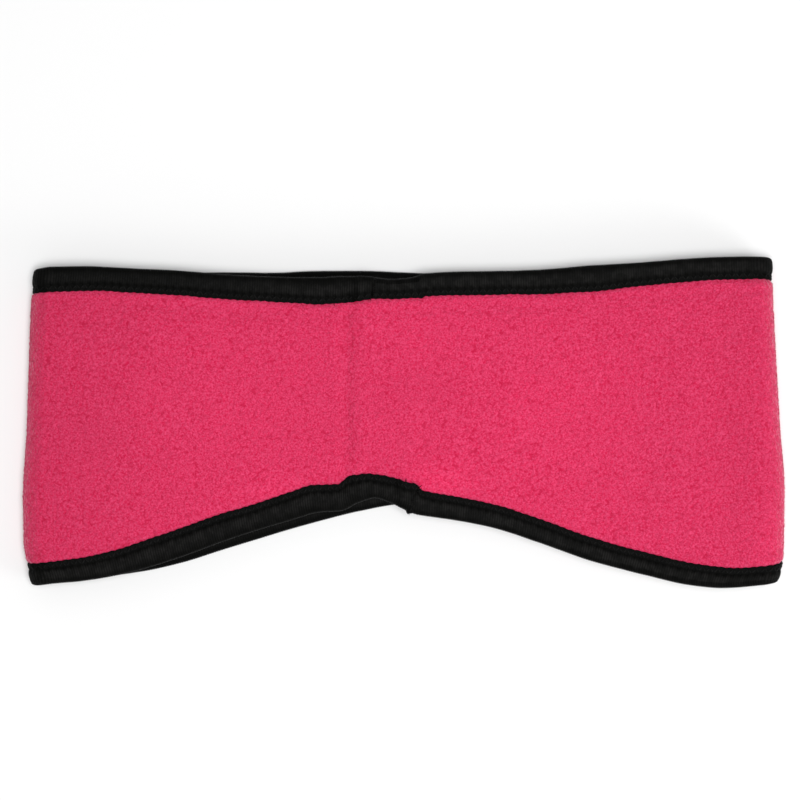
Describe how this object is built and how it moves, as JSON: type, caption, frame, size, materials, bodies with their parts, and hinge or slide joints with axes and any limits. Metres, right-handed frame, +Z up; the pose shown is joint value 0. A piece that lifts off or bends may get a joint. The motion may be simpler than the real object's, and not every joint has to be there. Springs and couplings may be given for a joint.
{
  "type": "ear warmer headband",
  "caption": "Fleece ear warmer headband lying flat: a closed loop, wide over the ears and narrow at nape and forehead, with ribbed stretch tape folded over its edges",
  "frame": {"origin": "under the middle of the band's box, on the surface that it lies on", "axes": "+X along the flat band from fold to fold, +Y towards its straighter upper edge, +Z up from the surface through both layers"},
  "size_m": [0.2496, 0.108, 0.0148],
  "materials": {
    "fleece": "bright pink polar fleece, matt, with a fine pebbled pile",
    "tape": "black cross-ribbed stretch tape with a dull satin sheen, stitched in black thread"
  },
  "bodies": {
    "root": {"fleece_band": "fleece", "upper_edge_tape": "tape", "lower_edge_tape": "tape"}
  },
  "joints": []
}
